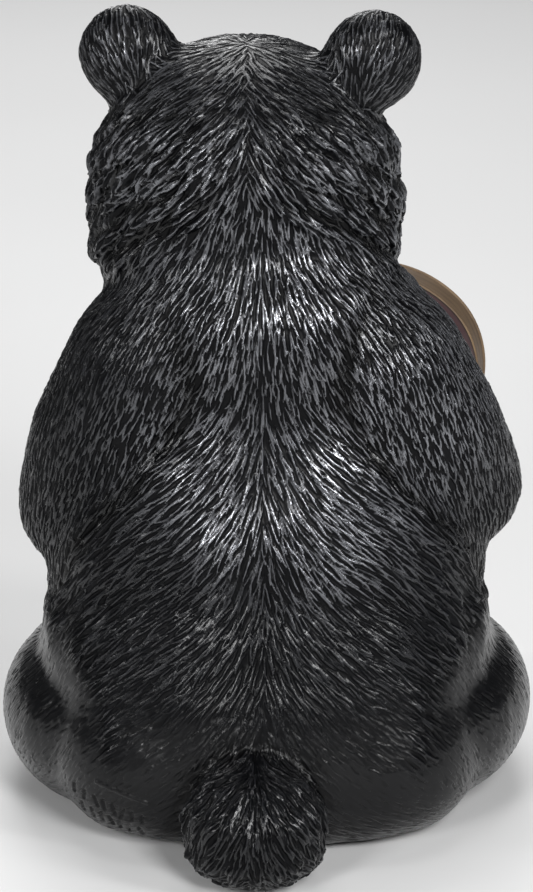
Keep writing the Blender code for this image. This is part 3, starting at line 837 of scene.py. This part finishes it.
def makeClaws():
    report("claws")
    horn = Finish("clawPaint", IOR=1.5, Coat_Weight=0.2, Coat_Roughness=0.15)
    where = horn.place()
    streak = horn.noise(where, 420, 3)
    horn.feed("Base Color", horn.mix(streak, (0.006, 0.005, 0.0045, 1), (0.035, 0.028, 0.022, 1)))
    horn.feed("Roughness", 0.24 + 0.18 * streak)
    horn.feed("Normal", horn.bump(streak, 0.2, 0.0002))
    for number, (start, end) in enumerate(clawPlaces()):
        start, end = Vector(start), Vector(end)
        length = (end - start).length
        deselectAll()
        bpy.ops.mesh.primitive_circle_add(vertices=16, radius=claw["radius"], fill_type="NGON")
        nail = bpy.context.object
        editMode()
        reach, width, fall = 0, 1, 0
        for share, size in claw["rings"]:
            drop = claw["droop"] * length * share * share
            bpy.ops.mesh.extrude_region_move(
                TRANSFORM_OT_translate={"value": (0, -(drop - fall), (share - reach) * length)}
            )
            bpy.ops.transform.resize(value=(size / width,) * 3)
            reach, width, fall = share, size, drop
        endEdit()
        nail.name = "claw%02d" % (number + 1)
        modify(nail, "SUBSURF", levels=1, render_levels=1)
        axis = (end - start).normalized()
        up = Vector((0, 0, 1)) if number < claw["level"] else Vector((0, -1, 0))
        up = (up - axis * axis.dot(up)).normalized()
        turned = Matrix((up.cross(axis), up, axis)).transposed().to_4x4()
        nail.data.transform(Matrix.Translation(atModel(start)) @ turned @ Matrix.Scale(mm, 4))
        nail.data.shade_smooth()
        dress(nail, horn.material, "bear")


# The guitar, in its own mm: X along the neck from the lower bout's centre, Z out of the top

guitar = {
    "place": (-36.5, -82, 131.5), "tilt": 43, "yaw": 12,
    "lower": 44.5, "upper": 30.5, "waist": 20, "spacing": 50,  # radii of the arcs, and from bout to bout
    "tail": 0.86, "shoulder": 0.7,  # how much both ends are flattened
    "depth": 28, "hole": 12.5, "holeAt": 28,
    # the dark bands to either side of the thread are painted shade of a groove
    "thread": 12, "threadFade": 0.4, "grooveShade": (2.4, 1.7),  # above the back, and to either side of the thread
    "beads": (  # name, height, radius, and how far outside the outline
        ("guitarBeadBack", 1.15, 1.05, -1.15),
        ("guitarBeadTop", 27.05, 0.9, -0.95),
        ("guitarThread", 12, 0.75, -0.85),
    ),
    "neckWidth": 13, "neckLength": 38, "neckDepth": 11, "board": 2.2,
    "frets": 10,
    "headLength": 26, "headWidth": 20, "headDepth": 7,
    "pegAt": 8.5, "pegStep": 6.2,
    "bridge": ((-22, -13), (-16.5, 13)),
}


def neckRoot():
    return guitar["spacing"] + guitar["upper"] * guitar["shoulder"]


def guitarPlace():
    tilt, yaw = math.radians(guitar["tilt"]), math.radians(guitar["yaw"])
    forward = Vector((-math.sin(yaw), -math.cos(yaw), 0))
    level = Vector((math.cos(yaw), -math.sin(yaw), 0))
    along = level * math.cos(tilt) + Vector((0, 0, 1)) * math.sin(tilt)
    across = forward.cross(along)
    turned = Matrix((along, across, forward)).transposed().to_4x4()
    return Matrix.Translation(atModel(guitar["place"])) @ turned


def rim(growth):
    # The body's outline, grown or shrunk: two bouts and a waist, each an arc
    lower, upper, waist = guitar["lower"] + growth, guitar["upper"] + growth, guitar["waist"] - growth
    spacing = guitar["spacing"]
    waistX = ((lower + waist) ** 2 - (upper + waist) ** 2 + spacing ** 2) / (2 * spacing)
    waistY = math.sqrt((lower + waist) ** 2 - waistX ** 2)
    leave, meet = math.atan2(waistY, waistX), math.atan2(waistY, waistX - spacing)
    half = []
    for angle in np.linspace(math.pi, leave, 40):
        x = lower * math.cos(angle)
        half.append((x * (guitar["tail"] if x < 0 else 1), lower * math.sin(angle)))
    for angle in np.linspace(math.pi + leave, math.pi + meet, 16)[1:-1]:
        half.append((waistX + waist * math.cos(angle), waistY + waist * math.sin(angle)))
    for angle in np.linspace(meet, 0, 26):
        x = upper * math.cos(angle)
        half.append((spacing + x * (guitar["shoulder"] if x > 0 else 1), upper * math.sin(angle)))
    return half + [(x, -y) for x, y in reversed(half[1:-1])]


def mount(obj, name, finish):
    obj.name = name
    makeActive(obj)
    bpy.ops.object.transform_apply()
    obj.data.transform(guitarPlace() @ Matrix.Scale(mm, 4))
    dress(obj, finish.material, "guitar")


sharpEdge = math.radians(50)  # only sharper edges are bevelled
crosswise = (math.pi / 2, 0, 0)  # turns a rod across the neck


def addSlab(outline, bottom, top, bevel=0.0):
    deselectAll()
    bpy.ops.mesh.primitive_circle_add(vertices=len(outline), radius=1, fill_type="NGON")
    slab = bpy.context.object
    writePoints(slab.data, [(x, y, bottom) for x, y in outline])
    editMode()
    bpy.ops.mesh.select_all(action="SELECT")
    bpy.ops.mesh.extrude_region_move(TRANSFORM_OT_translate={"value": (0, 0, top - bottom)})
    endEdit()
    if bevel:
        modify(slab, "BEVEL", width=bevel, segments=3, limit_method="ANGLE", angle_limit=sharpEdge)
    smoothByAngle(slab)
    return slab


def addBlock(low, high, bevel=0.0):
    deselectAll()
    middle = [(a + b) / 2 for a, b in zip(low, high)]
    bpy.ops.mesh.primitive_cube_add(size=1, location=middle)
    block = bpy.context.object
    block.scale = [b - a for a, b in zip(low, high)]
    bpy.ops.object.transform_apply()
    if bevel:
        modify(block, "BEVEL", width=bevel, segments=3)
    smoothByAngle(block)
    return block


def addRod(middle, radius, depth, turn=(0, 0, 0), sides=24, bevel=0.0):
    deselectAll()
    bpy.ops.mesh.primitive_cylinder_add(
        vertices=sides, radius=radius, depth=depth, location=middle, rotation=turn
    )
    rod = bpy.context.object
    bpy.ops.object.transform_apply()
    if bevel:
        modify(rod, "BEVEL", width=bevel, segments=2, limit_method="ANGLE", angle_limit=sharpEdge)
    smoothByAngle(rod)
    return rod


def addBead(path, radius, closed):
    # A round thread along a path of points
    curve = bpy.data.curves.new("bead", "CURVE")
    curve.dimensions = "3D"
    curve.bevel_depth, curve.bevel_resolution, curve.use_fill_caps = radius, 3, True
    spline = curve.splines.new("POLY")
    spline.points.add(len(path) - 1)
    for point, place in zip(spline.points, path):
        point.co = (*place, 1)
    spline.use_cyclic_u = closed
    bead = addObject("bead", curve)
    makeActive(bead)
    bpy.ops.object.convert(target="MESH")
    bead = bpy.context.object
    bead.data.shade_smooth()
    return bead


def smoothByAngle(obj):
    makeActive(obj)
    bpy.ops.object.shade_smooth_by_angle(angle=math.radians(35))


def woodFinish(name, dark, light, lineScale, rough=0.46, across="out"):
    # Painted wood: fine lines run along the piece, with dark wash between them
    finish = Finish(name, Specular_IOR_Level=0.35)
    where, matrix = finish.place(), guitarPlace().to_3x3()
    scales = (45, lineScale if across == "side" else 45, lineScale if across == "out" else 45)
    stretched = [finish.vector("DOT_PRODUCT", where, matrix.col[n]) * scale for n, scale in enumerate(scales)]
    grain = finish.noise(finish.node("ShaderNodeCombineXYZ", **dict(zip("XYZ", stretched))), 1, 4, 0.6)
    cloud = finish.noise(where, 70, 3)
    lines = finish.ramp(grain, 0.36, 0.62)
    colour = finish.mix(lines * 0.75 + cloud * 0.35, (*dark, 1), (*light, 1))
    finish.colour = colour
    finish.feed("Base Color", colour)
    finish.feed("Roughness", rough + 0.15 * cloud)
    finish.feed("Normal", finish.bump(grain, 0.35, 0.0004))
    return finish


def guitarPaints():
    ribs = woodFinish("ribWood", (0.042, 0.027, 0.016), (0.115, 0.077, 0.045), 900)
    bead = woodFinish("beadWood", (0.075, 0.045, 0.023), (0.175, 0.115, 0.062), 300)
    # below the thread round the ribs the paint is plum, and on both sides of the thread a dark band is painted
    # as the shade of a groove
    turned, thread, fade = guitarPlace(), guitar["thread"], guitar["threadFade"]
    base = turned.translation.dot(turned.col[2].xyz)
    height = (ribs.vector("DOT_PRODUCT", ribs.place(), turned.col[2].xyz) - base) * (1 / mm)
    grooveShade = ribs.ramp((height - thread).math("ABSOLUTE"), *guitar["grooveShade"])
    below = ribs.ramp(height, thread + fade, thread - fade)
    colour = ribs.mix(below, ribs.colour, (0.045, 0.022, 0.024, 1))
    ribs.feed("Base Color", ribs.mix(grooveShade, colour, (0.012, 0.008, 0.007, 1)))
    back = woodFinish("backWood", (0.035, 0.016, 0.015), (0.1, 0.05, 0.046), 600, across="side")
    top = woodFinish("topWood", (0.16, 0.08, 0.035), (0.36, 0.2, 0.09), 700, across="side")
    dark = woodFinish("darkWood", (0.008, 0.005, 0.004), (0.035, 0.02, 0.014), 500, 0.35, "side")
    metal = Finish("stringPaint", Metallic=0.9)
    metal.feed("Roughness", 0.25 + 0.2 * metal.noise(metal.place(), 300))
    tarnish = metal.noise(metal.place(), 90)
    metal.feed("Base Color", metal.mix(tarnish, (0.45, 0.42, 0.36, 1), (0.7, 0.66, 0.58, 1)))
    return {"ribs": ribs, "bead": bead, "back": back, "top": top, "dark": dark, "metal": metal}


def makeGuitarBody(paints):
    depth, hole, holeAt = guitar["depth"], guitar["hole"], guitar["holeAt"]
    mount(addSlab(rim(-0.7), 2.4, depth - 1.4), "guitarRibs", paints["ribs"])
    mount(addSlab(rim(-2.2), 0.8, 3, 0.4), "guitarBack", paints["back"])
    plate = addSlab(rim(-1.6), depth - 3.2, depth - 0.05)
    cutter = addRod((holeAt, 0, depth), hole, 4.4, sides=64)
    modify(plate, "BOOLEAN", operation="DIFFERENCE", solver="EXACT", object=cutter)
    bpy.data.objects.remove(cutter)
    smoothByAngle(plate)
    mount(plate, "guitarTop", paints["top"])
    for name, height, radius, growth in guitar["beads"]:
        path = [(x, y, height) for x, y in rim(growth)]
        mount(addBead(path, radius, True), name, paints["bead"])
    mount(addRod((holeAt, 0, depth - 1.5), hole + 0.3, 0.6, sides=64), "soundHole", paints["dark"])
    angles = np.linspace(0, 2 * math.pi, 65)[:-1]
    for name, radius, width in (("rosetteInner", hole + 1.0, 0.35), ("rosetteOuter", hole + 2.6, 0.5)):
        ring = [(holeAt + radius * math.cos(a), radius * math.sin(a), depth - 0.1) for a in angles]
        mount(addBead(ring, width, True), name, paints["dark"])


def makeGuitarNeck(paints):
    dark, bead, metal = paints["dark"], paints["bead"], paints["metal"]
    depth, half, rise = guitar["depth"], guitar["neckWidth"] / 2, guitar["board"]
    end = neckRoot() + guitar["neckLength"]
    boardStart = guitar["holeAt"] + guitar["hole"] + 1.5
    board = addBlock((boardStart, -half, depth - 0.5), (end, half, depth + rise), 0.4)
    mount(board, "fingerboard", dark)
    neck = addBlock((neckRoot() - 2, -half, depth - guitar["neckDepth"]), (end, half, depth - 0.4), 3.2)
    mount(neck, "neck", paints["ribs"])
    for number in range(guitar["frets"]):
        place = end - 1.5 - (end - boardStart) * (1 - 0.5 ** (number * 0.22)) * 1.22
        fret = addRod((place, 0, depth + rise), 0.38, half * 2 - 0.6, crosswise, 12)
        mount(fret, "fret%02d" % (number + 1), metal)
    mount(addBlock((end - 1, -half, depth), (end + 0.8, half, depth + rise + 0.5), 0.25), "nut", bead)
    wide, far = guitar["headWidth"] / 2, end + guitar["headLength"]
    shape = [(end - 4, -half * 0.9), (end + 6, -wide), (far - 1.5, -wide * 0.88), (far, -wide * 0.6)]
    shape += [(x, -y) for x, y in reversed(shape)]
    mount(addSlab(shape, depth - guitar["headDepth"], depth + 0.5, 0.6), "headstock", dark)
    (low, left), (high, right) = guitar["bridge"]
    mount(addBlock((low, left, depth - 0.4), (high, right, depth + 1.6), 0.5), "bridge", dark)
    saddleAt = (low + high) / 2 + 0.8
    mount(addRod((saddleAt, 0, depth + 1.5), 0.45, 16, crosswise, 12), "saddle", bead)
    for row in range(3):
        pegAt = end + guitar["pegAt"] + row * guitar["pegStep"]
        for side in (1, -1):
            number = row * 2 + (side < 0) + 1
            place = (pegAt, side * (wide + 1.25), depth - guitar["headDepth"] / 2)
            mount(addRod(place, 2.1, 4.4, crosswise, 20, 0.5), "peg%d" % number, bead)
            offset = (5 - 2 * row) * side * 0.5
            pull = [
                (low + 1.4, offset * 2.0, depth + 1.5),
                (saddleAt, offset * 2.0, depth + 2.0),
                (end, offset * 1.7, depth + rise + 0.75),
                (pegAt, side * (wide - 4 + 0.4 * row), depth + 0.8),
            ]
            mount(addBead(pull, 0.22, False), "string%d" % number, metal)


def makeGuitar():
    report("guitar")
    paints = guitarPaints()
    makeGuitarBody(paints)
    makeGuitarNeck(paints)


makeEyes()
makeClaws()
makeGuitar()


# Floor, lights and camera

studio = {
    "floor": 8.0,
    "world": 0.07,
    "lights": (  # place, width and height, watts
        ((-0.51, 1.28, 0.99), (0.45, 0.6), 20),
        ((0.74, 1.31, 0.74), (0.35, 0.6), 12),
        ((-1.25, 0.75, 0.85), (0.25, 0.6), 10),
        ((1.45, 0.4, 0.75), (0.25, 0.4), 4),
        ((0.0, -0.55, 1.7), (1.0, 1.0), 15),
        ((0.2, -1.6, 1.3), (0.9, 0.9), 14),
    ),
    "azimuth": 180,
    "elevation": 18,
    "distance": 1.4,
    "target": (0, 0.0255, 0.14),
    "lens": 106.77,
    "shift": (0.00012, -0.00623),
}


def makeStudio():
    report("studio")
    deselectAll()
    bpy.ops.mesh.primitive_plane_add(size=studio["floor"], location=(0, 0, -0.0005))
    floor = bpy.context.object
    floor.name = "floor"
    cloth = Finish("floorPaint", Roughness=0.7)
    cloud = cloth.noise(cloth.place(), 3)
    cloth.feed("Base Color", cloth.mix(cloud, (0.63, 0.63, 0.63, 1), (0.67, 0.67, 0.67, 1)))
    floor.data.materials.append(cloth.material)
    for place, (width, height), watts in studio["lights"]:
        light = bpy.data.lights.new("softLight", "AREA")
        light.shape = "RECTANGLE"
        light.size, light.size_y, light.energy = width, height, watts
        lamp = addObject("softLight", light)
        lamp.location = place
        lamp.rotation_euler = (Vector(studio["target"]) - Vector(place)).to_track_quat("-Z", "Y").to_euler()
    world = bpy.data.worlds.new("paleRoom")
    bpy.context.scene.world = world
    world.use_nodes = True
    background = world.node_tree.nodes["Background"]
    background.inputs["Color"].default_value = (0.95, 0.97, 1, 1)
    background.inputs["Strength"].default_value = studio["world"]
    bpy.context.scene.view_settings.view_transform = "Standard"


def makeCamera():
    azimuth, elevation = math.radians(studio["azimuth"]), math.radians(studio["elevation"])
    level = Vector((math.sin(azimuth), -math.cos(azimuth), 0))
    away = level * math.cos(elevation) + Vector((0, 0, math.sin(elevation)))
    camera = addObject("camera", bpy.data.cameras.new("camera"))
    camera.location = Vector(studio["target"]) + away * studio["distance"]
    camera.rotation_euler = (-away).to_track_quat("-Z", "Y").to_euler()
    camera.data.sensor_fit = "VERTICAL"
    camera.data.sensor_height = 24
    camera.data.lens = studio["lens"]
    camera.data.shift_x, camera.data.shift_y = studio["shift"]
    bpy.context.scene.camera = camera


makeStudio()
makeCamera()
